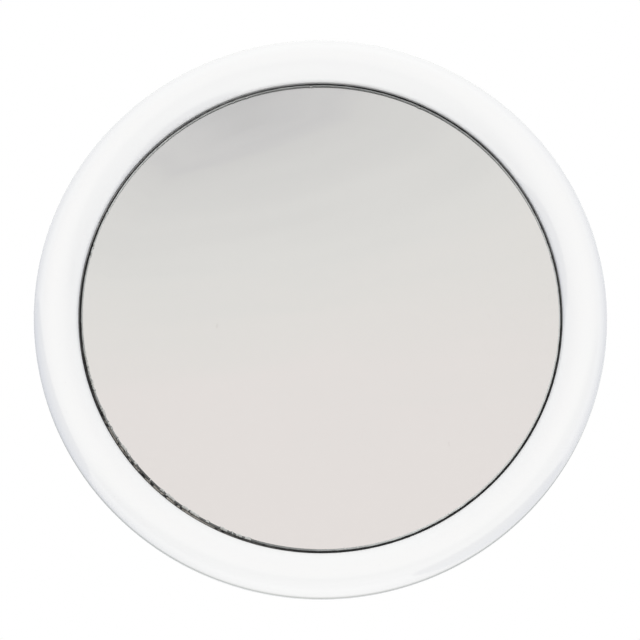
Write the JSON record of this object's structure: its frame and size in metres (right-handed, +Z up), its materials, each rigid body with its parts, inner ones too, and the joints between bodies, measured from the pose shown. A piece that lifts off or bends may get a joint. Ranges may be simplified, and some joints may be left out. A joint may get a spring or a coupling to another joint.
{
  "type": "suction cup magnifying mirror",
  "caption": "Round concave magnifying mirror in a rounded white plastic frame, held to a smooth wall by suction cups that slide in keyholes in its back.",
  "frame": {"origin": "on the wall plane, level with the middle of the mirror and of the circle through the three suction cups", "axes": "+Z up, -Y out of the glass towards the user, +X to the right as seen from the front; the wall is the plane Y = 0"},
  "size_m": [0.1524, 0.0265, 0.1524],
  "materials": {
    "white_plastic": "glossy moulded",
    "mirror_silver": "silvered glass, ground edge",
    "black_foam": "closed-cell foam",
    "clear_vinyl": "clear soft vinyl",
    "bright_steel": "zinc plated"
  },
  "bodies": {
    "mirror": {"front_frame": "white_plastic", "mirror_glass": "mirror_silver", "mirror_tape": "black_foam", "centre_pad": "black_foam", "rear_cover": "white_plastic", "screw_top": "bright_steel", "screw_lower_left": "bright_steel", "screw_lower_right": "bright_steel"},
    "cup_right": {"suction_cup_right": "clear_vinyl"},
    "cup_left": {"suction_cup_left": "clear_vinyl"},
    "cup_lower": {"suction_cup_lower": "clear_vinyl"}
  },
  "joints": [
    {"name": "cup_right_slide", "type": "slide", "parent": "mirror", "child": "cup_right", "axis": [0, 0, -1], "range_m": [0, 0.0095]},
    {"name": "cup_left_slide", "type": "slide", "parent": "mirror", "child": "cup_left", "axis": [0, 0, -1], "range_m": [0, 0.0095]},
    {"name": "cup_lower_slide", "type": "slide", "parent": "mirror", "child": "cup_lower", "axis": [0, 0, -1], "range_m": [0, 0.0095]}
  ]
}
